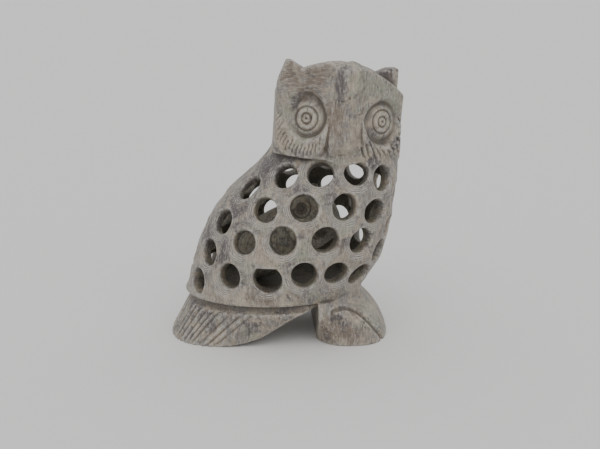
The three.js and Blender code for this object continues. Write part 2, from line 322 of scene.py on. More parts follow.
class Grid:
    """Evenly spaced sample points over a box, in millimetres."""

    def __init__(self, low, high, step):
        self.low = np.array(low, float)
        self.step = step
        self.counts = [int(math.ceil((b - a) / step)) + 1 for a, b in zip(low, high)]
        axes = [self.low[i] + step * np.arange(self.counts[i]) for i in range(3)]
        self.x = axes[0].astype(np.float32).reshape(-1, 1, 1)
        self.y = axes[1].astype(np.float32).reshape(1, -1, 1)
        self.z = axes[2].astype(np.float32).reshape(1, 1, -1)

    def window(self, low, high):
        """The slices that cover a box, and the grid of just those points."""
        first = [max(0, int((low[i] - self.low[i]) / self.step)) for i in range(3)]
        last = [min(self.counts[i], int((high[i] - self.low[i]) / self.step) + 2) for i in range(3)]
        part = Grid.__new__(Grid)
        part.step = self.step
        part.low = self.low + self.step * np.array(first)
        part.counts = [b - a for a, b in zip(first, last)]
        part.x = self.x[first[0]:last[0]]
        part.y = self.y[:, first[1]:last[1]]
        part.z = self.z[:, :, first[2]:last[2]]
        return tuple(slice(a, b) for a, b in zip(first, last)), part

    def empty(self):
        return np.full(self.counts, FAR_OUTSIDE, np.float32)


def smooth_min(a, b, blend):
    share = np.clip(0.5 + 0.5 * (b - a) / blend, 0, 1)
    return b + (a - b) * share - blend * share * (1 - share)


def smooth_max(a, b, blend):
    return -smooth_min(-a, -b, blend)


def smooth_step(low, high, value):
    share = np.clip((value - low) / (high - low), 0, 1)
    return share * share * (3 - 2 * share)


def as_distance(values, step):
    """Scales a field so that it falls by one millimetre a millimetre near its surface."""
    slopes = np.gradient(values, step)
    steepness = np.sqrt(slopes[0] ** 2 + slopes[1] ** 2 + slopes[2] ** 2)
    return np.clip(values / np.maximum(steepness, 1e-3), -FAR_OUTSIDE, FAR_OUTSIDE).astype(np.float32)


def cubic(places, values, at):
    """A smooth line through values, with the slope at each one that of the line between its neighbours."""
    places = np.array(places, float)
    values = np.array(values, float)
    slopes = np.empty_like(values)
    slopes[1:-1] = (values[2:] - values[:-2]) / (places[2:] - places[:-2])
    slopes[0] = 1.5 * (values[1] - values[0]) / (places[1] - places[0]) - slopes[1] / 2
    slopes[-1] = 1.5 * (values[-1] - values[-2]) / (places[-1] - places[-2]) - slopes[-2] / 2
    at = np.clip(at, places[0], places[-1])
    left = np.clip(np.searchsorted(places, at) - 1, 0, len(places) - 2)
    width = places[left + 1] - places[left]
    t = (at - places[left]) / width
    return (
        (2 * t ** 3 - 3 * t ** 2 + 1) * values[left]
        + (t ** 3 - 2 * t ** 2 + t) * width * slopes[left]
        + (3 * t ** 2 - 2 * t ** 3) * values[left + 1]
        + (t ** 3 - t ** 2) * width * slopes[left + 1]
    )


def ring_share(x, y, centre, half_x, half_y, power=2):
    """How far out a point lies from a level ring's middle, as a share of the ring."""
    along = np.abs((x - centre) / half_x) ** power
    across = np.abs(y / half_y) ** power
    return (along + across) ** (1 / power)


def convex_prism(across, up, outline, blend):
    """Distance to a convex outline, whose corners are rounded a little."""
    corners = np.array(outline, float)
    if signed_area(corners) < 0:
        corners = corners[::-1]
    result = None
    for start, end in zip(corners, np.roll(corners, -1, axis=0)):
        edge = (end - start) / np.linalg.norm(end - start)
        side = (across - start[0]) * edge[1] - (up - start[1]) * edge[0]
        result = side if result is None else smooth_max(result, side, blend)
    return result


def under_curve(points, floor):
    """An outline that reaches from a floor up to a smooth line through points."""
    places, heights = zip(*points)
    along = np.linspace(places[0], places[-1], 16)
    return [(places[0], floor), *zip(along, cubic(places, heights, along)), (places[-1], floor)]


def signed_area(corners):
    after = np.roll(corners, -1, axis=0)
    return (corners[:, 0] * after[:, 1] - after[:, 0] * corners[:, 1]).sum() / 2


def hand_unevenness(grid, height, size, seed):
    """The slow unevenness of a surface filed by hand."""
    random = np.random.default_rng(seed)
    total = 0
    for _ in range(5):
        wave = random.normal(size=3)
        wave *= 2 * math.pi / (np.linalg.norm(wave) * size * random.uniform(0.7, 1.4))
        turns = grid.x * wave[0] + grid.y * wave[1] + grid.z * wave[2]
        total = total + np.sin(turns + random.uniform(0, 6.28))
    return (total * height / 3).astype(np.float32)


# Body

def body_ring(z, inset=0):
    back = cubic(BODY_HEIGHTS, BACK_X, z)
    chest = cubic(BODY_HEIGHTS, CHEST_X, z)
    side = cubic(BODY_HEIGHTS, SIDE_Y, z)
    return (back + chest) / 2, (chest - back) / 2 - inset, side - inset


def body_point(angle, z):
    centre, half_x, half_y = body_ring(z)
    return np.array([centre + half_x * math.sin(angle), -half_y * math.cos(angle), z])


def body_normal(angle, z):
    turn = 0.02
    rise = 0.5
    along = body_point(angle + turn, z) - body_point(angle - turn, z)
    up = body_point(angle, z + rise) - body_point(angle, z - rise)
    normal = np.cross(along, up)
    return normal / np.linalg.norm(normal)


def carve_body(grid, stone):
    window, part = grid.window((-45, -32, BODY_HEIGHTS[0] - 3), (45, 32, BODY_TOP + 3))
    centre, half_x, half_y = body_ring(part.z)
    side = as_distance(ring_share(part.x, part.y, centre, half_x, half_y) - 1, part.step)
    side = side + hand_unevenness(part, 0.16, 7, SEED + 1)
    floor = smooth_max(side, BODY_HEIGHTS[0] - part.z, 1.2)
    stone[window] = np.minimum(stone[window], np.maximum(floor, part.z - BODY_TOP))


def hollow_out(grid, stone):
    window, part = grid.window((-40, -28, CAVITY_FLOOR - 3), (42, 28, CAVITY_TOP + 3))
    share = np.clip((part.z - CAVITY_FLOOR) / (CAVITY_TOP - CAVITY_FLOOR), 0, 1)
    openness = np.minimum(1, CAVITY_CLOSED + CAVITY_OPENING * np.minimum(share, 1 - share))
    centre, half_x, half_y = body_ring(part.z, WALL)
    ring = ring_share(part.x, part.y, centre, half_x * openness, half_y * openness)
    side = as_distance(ring - 1, part.step) + hand_unevenness(part, 0.35, 9, SEED)
    hollow = smooth_max(side, np.maximum(CAVITY_FLOOR - part.z, part.z - CAVITY_TOP), 3)
    stone[window] = smooth_max(stone[window], -hollow, 0.7)


# Lattice

def row_holes(row):
    """The near holes are where the photo shows them, and the far ones share what is left of the row."""
    holes = []
    for degrees in row["near"]:
        drop = row["dip"] * abs(math.sin(math.radians(degrees))) ** NEAR_DIP_POWER
        holes.append((math.radians(degrees), row["height"] - drop))
    gap = row["near"][0] + 360 - row["near"][-1]
    for k in range(row["far"]):
        angle = math.radians(row["near"][-1] + gap * (k + 1) / (row["far"] + 1))
        drop = row["dip"] * abs(math.sin(angle)) ** FAR_DIP_POWER
        holes.append((angle, row["far_height"] - drop))
    return holes


def drilled_holes():
    """Each hole's place, axes and unroundness, a size that leaves a web beside it, and its lip's width."""
    random = np.random.default_rng(SEED)
    holes = []
    for number, row in enumerate(ROWS):
        for place, (angle, z) in enumerate(row_holes(row)):
            near = NEAR_SIZES[number]
            flat_topped = (number, place) == FLAT_TOPPED
            z = z - FLAT_TOPPED_DROP * flat_topped
            outward = body_normal(angle, z)
            across = np.cross((0, 0, 1), outward)
            across /= np.linalg.norm(across)
            holes.append({
                "place": body_point(angle, z),
                "outward": outward,
                "across": across,
                "up": np.cross(outward, across),
                "phase": random.uniform(0, 2 * math.pi),
                "size": near[place] if place < len(near) else random.uniform(0.96, 1.04),
                "top": FLAT_TOP if flat_topped else 2 * HOLE_RADIUS,
            })
    for hole in holes:
        nearest = min(np.linalg.norm(hole["place"] - other["place"]) for other in holes if other is not hole)
        hole["size"] = min(hole["size"], (nearest - THINNEST_WEB) / (2 * HOLE_RADIUS))
        web = nearest - 2 * HOLE_RADIUS * hole["size"]
        hole["lip"] = LIP_WIDTH * min(1, web / LIP_ROOM)
    return holes


def hole_axes(hole, x, y, z):
    """Distances from a hole's place: across it, up it and outward from the body."""
    x, y, z = x - hole["place"][0], y - hole["place"][1], z - hole["place"][2]
    return [x * axis[0] + y * axis[1] + z * axis[2] for axis in (hole["across"], hole["up"], hole["outward"])]


def lip_share(across, up, radius):
    """How much of the filed lip lies on this side of a hole: all of it below, none above."""
    towards = (across * LIP_SIDE[0] + up * LIP_SIDE[1]) / np.maximum(radius, 0.1)
    return smooth_step(-0.35, 0.75, towards)


def drill(grid, stone, hole):
    reach = HOLE_DEPTH + 3
    window, part = grid.window(hole["place"] - reach, hole["place"] + reach)
    across, up, out = hole_axes(hole, part.x, part.y, part.z)
    radius = np.hypot(across, up)
    angle = np.arctan2(up, across)
    wall = HOLE_INNER_RADIUS + (HOLE_RADIUS - HOLE_INNER_RADIUS) * np.clip(1 + out / WALL, 0, 1.3)
    wall = wall * hole["size"] * (1 + HOLE_UNEVENNESS * np.cos(2 * angle + hole["phase"]))
    shaft = np.maximum(radius - wall, -out - HOLE_DEPTH)
    shaft = np.maximum(shaft, np.maximum(up - hole["top"], out - HOLE_CLEAR))
    spread = 0.35 + hole["lip"] * lip_share(across, up, radius)
    lip = (radius - wall - spread * (1 + out / LIP_DEPTH)) * (LIP_DEPTH / np.hypot(spread, LIP_DEPTH))
    lip = np.maximum(lip, np.maximum(-out - LIP_DEPTH, out - LIP_CLEAR))
    lip = np.maximum(lip, up - hole["top"])
    cut = np.minimum(shaft, lip)
    stone[window] = smooth_max(stone[window], -cut, LIP_BLEND)


# Base

def mixed_ring(low, high, share):
    centre = low["centre"] + (high["centre"] - low["centre"]) * share
    half_x, half_y = (a + (b - a) * share for a, b in zip(low["half"], high["half"]))
    return centre, half_x, half_y, low["power"] + (high["power"] - low["power"]) * share


def ring_angle(x, y, centre, half_x, half_y, power):
    """The angle that draws a point on a level ring, in degrees from -Y towards +X."""
    along = np.sign(x - centre) * np.abs((x - centre) / half_x) ** (power / 2)
    across = -np.sign(y) * np.abs(y / half_y) ** (power / 2)
    return np.degrees(np.arctan2(along, across))


def feathers(angle):
    """How deep the tail's feather grooves are at an angle: rounded feathers with sharp lines between them."""
    from_front = np.where(angle > 90, angle - 360, angle)
    first, last = FEATHER_SPAN
    fade_in, fade_out = FEATHER_FADE
    fade = smooth_step(first, first + fade_in, from_front)
    fade = fade * (1 - smooth_step(last - fade_out, last, from_front))
    uneven = 1.6 * np.sin(np.radians(from_front) * 7.3) + 0.9 * np.sin(np.radians(from_front) * 17)
    crest = np.abs(np.cos(np.pi * (from_front + 90 + uneven) / FEATHER_PITCH))
    return FEATHER_DEPTH * fade * (1 - crest ** FEATHER_ROUNDNESS)


def tail(part):
    share = np.clip(part.z / GROOVE_LOW, 0, 1)
    centre, half_x, half_y, power = mixed_ring(TAIL_FLOOR, TAIL_TOP, share)
    ring = ring_share(part.x, part.y, centre, half_x, half_y, power)
    side = as_distance(ring - 1, part.step)
    side = side + feathers(ring_angle(part.x, part.y, centre, half_x, half_y, power))
    top = smooth_max(side, part.z - GROOVE_LOW, 0.8)
    return np.maximum(top, part.x - FOOT_BACK_X - 1)


def foot_point(degrees, share):
    centre, half_x, half_y, power = mixed_ring(FOOT_FLOOR, FOOT_TOP, share ** INSTEP)
    angle = math.radians(90 - degrees)
    bend = 2 / power
    x = centre + half_x * math.sin(angle) ** bend
    y = -half_y * max(math.cos(angle), 0) ** bend
    return np.array([x, y, FOOT_HEIGHT * share])


def route_distance(part, route):
    """Distance to a line through points, on the near side and mirrored on the far side."""
    y = -np.abs(part.y)
    nearest = None
    for start, end in zip(route, route[1:]):
        edge = end - start
        along = (part.x - start[0]) * edge[0] + (y - start[1]) * edge[1] + (part.z - start[2]) * edge[2]
        share = np.clip(along / edge.dot(edge), 0, 1)
        gap = np.sqrt(
            (part.x - start[0] - share * edge[0]) ** 2
            + (y - start[1] - share * edge[1]) ** 2
            + (part.z - start[2] - share * edge[2]) ** 2
        )
        nearest = gap if nearest is None else np.minimum(nearest, gap)
    return nearest


def toe_route():
    places = np.arange(len(TOE_LINE))
    along = np.linspace(0, len(TOE_LINE) - 1, 24)
    angles = cubic(places, [angle for angle, _ in TOE_LINE], along)
    heights = cubic(places, [height for _, height in TOE_LINE], along)
    return [foot_point(angle, height) for angle, height in zip(angles, heights)]


def foot(part):
    share = np.clip(part.z / FOOT_HEIGHT, 0, 1) ** INSTEP
    centre, half_x, half_y, power = mixed_ring(FOOT_FLOOR, FOOT_TOP, share)
    side = as_distance(ring_share(part.x, part.y, centre, half_x, half_y, power) - 1, part.step)
    block = smooth_max(side, FOOT_BACK_X - part.x, 0.8)
    block = np.maximum(block, part.z - FOOT_HEIGHT)
    block = smooth_max(block, TOE_GROOVE - route_distance(part, toe_route()), 0.5)
    middle = foot_point(TOE_DIMPLE["angle"], TOE_DIMPLE["height"])
    middle[1] += TOE_DIMPLE["depth"] - TOE_DIMPLE["radius"]
    y = -np.abs(part.y)
    ball = np.sqrt((part.x - middle[0]) ** 2 + (y - middle[1]) ** 2 + (part.z - middle[2]) ** 2)
    return smooth_max(block, TOE_DIMPLE["radius"] - ball, 0.8)


def arch_height(x):
    """The arch's soffit, which runs below the floor where the tail stands on it."""
    places = [point[0] for point in ARCH]
    heights = [point[1] for point in ARCH]
    return np.interp(x, [places[0] - 10, *places], [-2, *heights])


def carve_base(grid, stone):
    window, part = grid.window((-48, -32, -1), (45, 32, GROOVE_HIGH + 2))
    inset = [half - GROOVE_DEPTH for half in RIM_HALF]
    neck = as_distance(ring_share(part.x, part.y, RIM_CENTRE_X, *inset) - 1 + 0 * part.z, part.step)
    neck = np.maximum(neck, np.maximum(GROOVE_LOW - 2 - part.z, part.z - GROOVE_HIGH - 1))
    made = smooth_min(np.minimum(tail(part), foot(part)), neck, 2)
    void = np.minimum((arch_height(part.x) - part.z) * ARCH_SLOPE_SHARE, FOOT_BACK_X - part.x)
    made = smooth_max(made, void, 0.6)
    made = smooth_max(made, -part.z + 0 * made, 0.5)
    blend = RIM_BLEND + INSTEP_BLEND * smooth_step(*INSTEP_REACH, part.x)
    stone[window] = smooth_min(stone[window], made, blend)


# Heads

def socket_depth(off, up, panel, size):
    """A scoop round the eye: steep beside the beak and along the ledge below, soft above and outside."""
    outer, inner, tall, low = (value * size for value in panel["socket"])
    across = np.where(off < 0, off / inner, off / outer)
    along = np.where(up > 0, up / tall, up / low)
    reach = np.sqrt(across ** 2 + along ** 2)
    softness = 0.2 + 0.42 * smooth_step(0, 0.8, across) + 0.1 * smooth_step(0, 1, along)
    return SOCKET_DEPTH * size * (1 - smooth_step(1 - softness, 1.04, reach))


def lash_depth(off, up, panel, size):
    """Short strokes cut side by side below the eye, that lean outward."""
    radius = np.hypot(off, up) / size
    around = np.mod(np.degrees(np.arctan2(up, off)), 360)
    aim_off, aim_up = (value * size for value in panel["lash_aim"])
    lean = np.arctan2(off - aim_off, aim_up - up)
    phase = lean * math.hypot(*panel["lash_aim"]) / panel["lash_pitch"]
    groove = (0.5 + 0.5 * np.cos(2 * np.pi * phase + 0.5 * np.sin(radius * 2.1))) ** 2.2
    uneven = 0.6 * np.sin(np.floor(phase + 0.5) * 2.4)
    nearest, farthest = panel["lash_radii"]
    ends = smooth_step(nearest + uneven, nearest + uneven + 0.7, radius)
    ends = ends * (1 - smooth_step(farthest + uneven - 0.9, farthest + uneven, radius))
    first, last = LASH_SPAN
    around = np.where(around < first - 90, around + 360, around)
    fan = smooth_step(first - 3, first, around) * (1 - smooth_step(last - 3, last, around))
    return panel["lash_depth"] * size * groove * ends * fan


def disc_reach(off, up, panel, size):
    """How far a place is from the eye, as a share of the face disc, which is a rounded square."""
    half_along, half_up = panel["disc"]
    off = off - size
    half_in = half_along - 2.6 * size
    across = np.where(off < 0, off / half_in, off / half_along)
    return (np.abs(across) ** 2.6 + np.abs(up / half_up) ** 2.6) ** (1 / 2.6)


def panel_relief(along, up, head, panel):
    """How far a face panel's carving stands out from its flat plane."""
    size = head["size"]
    off = along - panel["eye"]
    up = up - panel["rise"]
    radius = np.hypot(off, up)
    disc = disc_reach(off, up, panel, size)
    low = smooth_step(2, -4, up / size)
    relief = DISC_RISE * size * (1 - smooth_step(0.98, 1.02, disc)) * low
    relief = relief - DISC_LINE * size * np.exp(-((disc - 0.99) / 0.02) ** 2) * low
    swell = np.exp(-((radius / size - CHEEK_RADIUS) / CHEEK_WIDTH) ** 2)
    relief = relief + CHEEK_SWELL * size * swell * low * (disc < 1)
    below = smooth_step(1.0, 1.05, disc) * smooth_step(-6.5, -10, up / size)
    relief = relief - panel["scallop"] * below * smooth_step(head["bar"] - 1, head["bar"], along)
    relief = relief - socket_depth(off, up, panel, size)
    bar = np.exp(-((along - head["bar"] + 0.2 * size) / (0.95 * size)) ** 2)
    relief = relief - BAR_DEPTH * size * bar * (1 - smooth_step(1, 8, up / size)) * panel["bar_depth"]
    relief = relief + size * np.interp(np.hypot(off * panel["ring_scale"], up) / size, EYE_RADII, EYE_RISES)
    relief = relief - panel["tuck"] * smooth_step(-8, -13, up / size)
    relief = relief - head["chin_tuck"] * np.exp(-((along / 6) ** 2)) * smooth_step(-6, -13, up)
    return relief - lash_depth(off, up, panel, size)


def head_field(x, y, z, head):
    """Distance to a head in its own frame: a wedge with two face panels under a rounded roof with ears."""
    size = head["size"]
    corners = [head["panels"][0]["corner"], head["ridge"], head["panels"][1]["corner"], *head["back"]]
    up = z - head["eye_height"]
    sides = []
    for k, (start, end) in enumerate(zip(corners, corners[1:] + corners[:1])):
        length = math.dist(start, end)
        edge = ((end[0] - start[0]) / length, (end[1] - start[1]) / length)
        side = (x - start[0]) * edge[1] - (y - start[1]) * edge[0]
        if k < 2:
            along = (x - head["ridge"][0]) * edge[0] + (y - head["ridge"][1]) * edge[1]
            side = side - panel_relief(np.abs(along), up, head, head["panels"][k])
        sides.append(side)
    ridge_blend = size * (0.8 + 4.5 * (1 - smooth_step(4, 12, up / size)))
    front = smooth_max(sides[0], sides[1], ridge_blend)
    wedge = front
    for side in sides[2:]:
        wedge = smooth_max(wedge, side, 1.6 * size)
    centre, top, half = head["roof"]["centre"], head["roof"]["top"], head["roof"]["half"]
    dipped = z + head["roof"]["front_dip"] * smooth_step(0, -14, y)
    rise = np.maximum(dipped - (top - half[2]), 0)
    level = ((x - centre[0]) / half[0]) ** 2 + ((y - centre[1]) / half[1]) ** 2
    dome = np.sqrt(level + (rise / half[2]) ** 2)
    roof = (dome - 1) * half[2]
    outlines = [under_curve(points, BROW_FLOOR) for points in head["brows"]] + head["knobs"]
    for outline in outlines:
        roof = smooth_min(roof, convex_prism(x, z - ROOF_SLOPE * front, outline, 0.4 * size), 0.6 * size)
    toward_x, toward_y, toward_z, reach = head["facet"]
    roof = smooth_max(roof, x * toward_x + y * toward_y + z * toward_z - reach, 0.25 * size)
    for ear in head["ears"]:
        block = convex_prism(x, z, ear["outline"], 0.35 * size)
        block = np.maximum(block, np.maximum(ear["span"][0] - y, y - ear["span"][1]))
        roof = smooth_min(roof, block, 0.2 * size)
    made = smooth_max(wedge, roof, 0.5 * size)
    return smooth_max(made, head["bottom"] - z, 0.6 * size)


def carve_head(grid, stone):
    window, part = grid.window((-12, -33, MOTHER["bottom"] - 5), (45, 28, 102))
    pivot_x, pivot_z = MOTHER["ridge"][0], MOTHER["eye_height"]
    cosine, sine = math.cos(math.radians(HEAD_ROLL)), math.sin(math.radians(HEAD_ROLL))
    x = pivot_x + (part.x - pivot_x) * cosine - (part.z - pivot_z) * sine
    z = pivot_z + (part.x - pivot_x) * sine + (part.z - pivot_z) * cosine
    made = head_field(x, part.y, z, MOTHER) + hand_unevenness(part, 0.08, 6, SEED + 2)
    for across, forward, high, radius in NICKS:
        ball = np.sqrt((x - across) ** 2 + (part.y - forward) ** 2 + (z - high) ** 2)
        made = smooth_max(made, radius - ball, 0.3)
    under_beak = np.exp(-((x - MOTHER["ridge"][0]) / BEAK_WIDTH) ** 2)
    blend = NECK_BLEND + BEAK_BLEND * under_beak + CHIN_BLEND * smooth_step(*CHIN_REACH, x)
    stone[window] = smooth_min(stone[window], made, blend)


# Meshing

def surface_net(field, grid):
    """Points and four-sided faces of the surface where a field is zero."""
    inside = field < 0
    corners = [(i, j, k) for i in (0, 1) for j in (0, 1) for k in (0, 1)]

    def corner_view(values, corner):
        return values[tuple(slice(c, values.shape[n] - 1 + c) for n, c in enumerate(corner))]

    count = sum(corner_view(inside, corner).astype(np.uint8) for corner in corners)
    cells = np.argwhere((count > 0) & (count < 8))
    index = np.full(count.shape, -1, np.int32)
    index[tuple(cells.T)] = np.arange(len(cells))
    total = np.zeros((len(cells), 3))
    crossings = np.zeros(len(cells))
    for corner in corners:
        for axis in range(3):
            if corner[axis]:
                continue
            far = list(corner)
            far[axis] = 1
            a = field[tuple((cells + corner).T)].astype(float)
            b = field[tuple((cells + far).T)].astype(float)
            crossed = (a < 0) != (b < 0)
            share = np.where(crossed, a / np.where(crossed, a - b, 1), 0)
            place = np.array(corner, float) + np.eye(3)[axis] * share[:, None]
            total += place * crossed[:, None]
            crossings += crossed
    points = grid.low + grid.step * (cells + total / crossings[:, None])
    faces = []
    for axis in range(3):
        u, v = (axis + 1) % 3, (axis + 2) % 3
        low = [slice(None)] * 3
        high = [slice(None)] * 3
        low[axis] = slice(None, -1)
        high[axis] = slice(1, None)
        edges = np.argwhere(inside[tuple(low)] != inside[tuple(high)])
        edges = edges[(edges[:, u] > 0) & (edges[:, v] > 0)]
        edges = edges[(edges[:, u] < field.shape[u] - 1) & (edges[:, v] < field.shape[v] - 1)]
        around = []
        for du, dv in ((1, 1), (0, 1), (0, 0), (1, 0)):
            cell = edges.copy()
            cell[:, u] -= du
            cell[:, v] -= dv
            around.append(index[tuple(cell.T)])
        quads = np.stack(around, axis=1)
        entering = ~inside[tuple(edges.T)]
        quads[entering] = quads[entering][:, ::-1]
        faces.append(quads)
    return points, np.concatenate(faces)


def mesh_object(name, points, quads, triangles):
    """A smooth mesh in metres, thinned to a number of triangles."""
    mesh = bpy.data.meshes.new(name)
    mesh.vertices.add(len(points))
    mesh.vertices.foreach_set("co", (points * MM).astype(np.float32).ravel())
    mesh.loops.add(quads.size)
    mesh.loops.foreach_set("vertex_index", quads.astype(np.int32).ravel())
    mesh.polygons.add(len(quads))
    mesh.polygons.foreach_set("loop_start", np.arange(0, quads.size, 4, dtype=np.int32))
    mesh.update(calc_edges=True)
    made = bpy.data.objects.new(name, mesh)
    bpy.context.scene.collection.objects.link(made)
    if 2 * len(quads) > triangles:
        thin = made.modifiers.new("thin", "DECIMATE")
        thin.ratio = triangles / (2 * len(quads))
        evaluated = made.evaluated_get(bpy.context.evaluated_depsgraph_get())
        made.data = bpy.data.meshes.new_from_object(evaluated)
        made.modifiers.clear()
    made.data.polygons.foreach_set("use_smooth", np.ones(len(made.data.polygons), bool))
    return made


def vertex_places(made):
    """A mesh's vertices in millimetres."""
    places = np.empty(len(made.data.vertices) * 3, np.float32)
    made.data.vertices.foreach_get("co", places)
    return places.reshape(-1, 3).astype(float) / MM


def store(made, name, values):
    attribute = made.data.attributes.new(name, "FLOAT", "POINT")
    attribute.data.foreach_set("value", np.ascontiguousarray(values, dtype=np.float32))


# Pieces

def make_owl():
    grid = Grid((-45, -29.5, -1.5), (42.5, 29.5, 102), SAMPLE_STEP)
    stone = grid.empty()
    carve_body(grid, stone)
    hollow_out(grid, stone)
    holes = drilled_holes()
    for hole in holes:
        drill(grid, stone, hole)
    carve_base(grid, stone)
    carve_head(grid, stone)
    owl = mesh_object("soapstone_owl", *surface_net(stone, grid), OWL_TRIANGLES)
    mark_surface(owl, stone, grid)
    mark_file_marks(owl, holes)
    mark_depth(owl)
    mark_patches(owl)
    return owl


def blurred(field, cells):
    """A field averaged over a box of cells each way, twice."""
    for axis in (0, 1, 2, 0, 1, 2):
        padding = [(0, 0)] * 3
        padding[axis] = (cells + 1, cells)
        total = np.cumsum(np.pad(field, padding, mode="edge"), axis=axis, dtype=np.float64)
        count = field.shape[axis]
        width = 2 * cells + 1
        upper = np.take(total, range(width, width + count), axis=axis)
        field = ((upper - np.take(total, range(count), axis=axis)) / width).astype(np.float32)
    return field


def sampled(field, grid, places):
    """A field's values at places between the sample points."""
    steps = (places - grid.low) / grid.step
    cell = np.clip(np.floor(steps).astype(int), 0, np.array(field.shape) - 2)
    share = steps - cell
    total = np.zeros(len(places))
    for corner in np.ndindex(2, 2, 2):
        weight = np.prod(np.where(corner, share, 1 - share), axis=1)
        total += weight * field[tuple((cell + corner).T)]
    return total


def mark_surface(piece, field, grid):
    """Stores how sharp an edge or a groove each point lies on, and how far the stone shuts it in."""
    places = vertex_places(piece)
    here = sampled(field, grid, places)
    fine = sampled(blurred(field, max(1, round(FINE_REACH / grid.step))), grid, places)
    wide = sampled(blurred(field, round(WIDE_REACH / grid.step)), grid, places)
    store(piece, "edge", (fine - here) / FINE_EDGE)
    store(piece, "shut_in", (here - wide) / WIDE_EDGE)


def mark_depth(owl):
    """Stores how deep each point lies below the body's outer surface."""
    x, y, z = vertex_places(owl).T
    centre, half_x, half_y = body_ring(np.clip(z, BODY_HEIGHTS[0], BODY_TOP))
    share = ring_share(x, y, centre, half_x, half_y)
    depth = (1 - share) * (half_x + half_y) / 2
    inside = (z > CAVITY_FLOOR - 1) & (z < CAVITY_TOP + 1)
    store(owl, "depth", np.where(inside, depth, 0))


def on_stone(place):
    """A place in millimetres, or one on the body that is given by its degrees and height."""
    if len(place) == 2:
        return body_point(math.radians(place[0]), place[1])
    return np.array(place, float)


def streak_gap(places, route):
    """The distance from each place to a line through points, or to a lone point."""
    points = [on_stone(place) for place in route]
    gaps = []
    for start, end in zip(points, points[1:] or points):
        edge = end - start
        share = np.clip((places - start) @ edge / max(edge @ edge, 1e-6), 0, 1)
        gaps.append(np.linalg.norm(places - start - share[:, None] * edge, axis=1))
    return np.min(gaps, axis=0)


def closeness(places, streaks):
    """How close each place is to the nearest of some streaks, from 0 to 1."""
    result = np.zeros(len(places))
    for half_width, *route in streaks:
        gap = streak_gap(places, route)
        result = np.maximum(result, np.exp(-((gap / half_width) ** 2) / 1.5))
    return result


def mark_patches(owl):
    places = vertex_places(owl)
    for name, streaks in STREAKS.items():
        store(owl, name, closeness(places, streaks))
    store(owl, "level_marks", closeness(places, [LEVEL_MARKS]))


def mark_file_marks(owl, holes):
    """Stores each point's distance from the hole whose filed lip it lies on, and how much of a lip it is."""
    places = vertex_places(owl)
    ring = np.zeros(len(places))
    lip = np.zeros(len(places))
    for hole in holes:
        across, up, out = hole_axes(hole, *places.T)
        radius = np.hypot(across, up)
        share = lip_share(across, up, radius)
        share = share * smooth_step(HOLE_RADIUS - 0.6, HOLE_RADIUS, radius)
        share = share * (1 - smooth_step(HOLE_RADIUS + 2, HOLE_RADIUS + 3.2, radius))
        share = share * (1 - smooth_step(1.4, 2.2, np.abs(out)))
        ring = np.where(share > lip, radius, ring)
        lip = np.maximum(lip, share)
    store(owl, "file_ring", ring)
    store(owl, "lip", lip)


def eye_place(head, k):
    """Where a head's eye lies on its panel, in the head's frame."""
    panel = head["panels"][k]
    ridge, corner = head["ridge"], panel["corner"]
    share = panel["eye"] / math.dist(ridge, corner)
    return [a + (b - a) * share for a, b in zip(ridge, corner)] + [head["eye_height"] + panel["rise"]]


def make_baby():
    grid = Grid((-13, -15, -1.5), (13, 12, 44), BABY_STEP)
    half_x = cubic(BABY_HEIGHTS, BABY_HALF_X, grid.z)
    half_y = cubic(BABY_HEIGHTS, BABY_HALF_Y, grid.z)
    body = as_distance(ring_share(grid.x, grid.y, 0, half_x, half_y) - 1, grid.step)
    stroke = (0.5 + 0.5 * np.cos(BABY_STROKES * np.arctan2(grid.y, grid.x) + 0.25 * grid.z)) ** 2
    body = body + BABY_STROKE_DEPTH * stroke * smooth_step(9, 11, grid.z) * (1 - smooth_step(17, 20, grid.z))
    body = smooth_max(body, np.maximum(-grid.z, grid.z - BABY_HEIGHTS[-1]), 0.8)
    head = head_field(grid.x, grid.y, grid.z, BABY)
    stone = np.broadcast_to(smooth_min(body, head, 0.6), grid.counts).astype(np.float32)
    baby = mesh_object("soapstone_baby_owl", *surface_net(stone, grid), BABY_TRIANGLES)
    mark_surface(baby, stone, grid)
    eyes = [eye_place(BABY, k) for k in (0, 1)]
    # Where the painted shade over the baby's eyes lies
    store(baby, "eyes", closeness(vertex_places(baby), [(BABY_EYE_SHADE, place) for place in eyes]))
    lean = Matrix.Rotation(math.radians(BABY_LEAN_SIDE), 4, "Y") @ Matrix.Rotation(
        math.radians(BABY_LEAN_FORWARD), 4, "X"
    )
    baby.data.transform(lean)
    lowest = vertex_places(baby)[:, 2].min()
    baby.data.transform(Matrix.Translation(Vector((*BABY_FOOT, BABY_REST - lowest)) * MM))
    return baby


def put_in_place(piece, node):
    """Moves a piece's mesh to stand over the origin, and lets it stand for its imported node."""
    piece.data.transform(Matrix.Translation((-MIDDLE_X * MM, 0, 0)))
    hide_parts(node)
    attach(piece, "root")


owl = make_owl()
baby = make_baby()
put_in_place(owl, "owl")
put_in_place(baby, "baby_owl")


# Stone

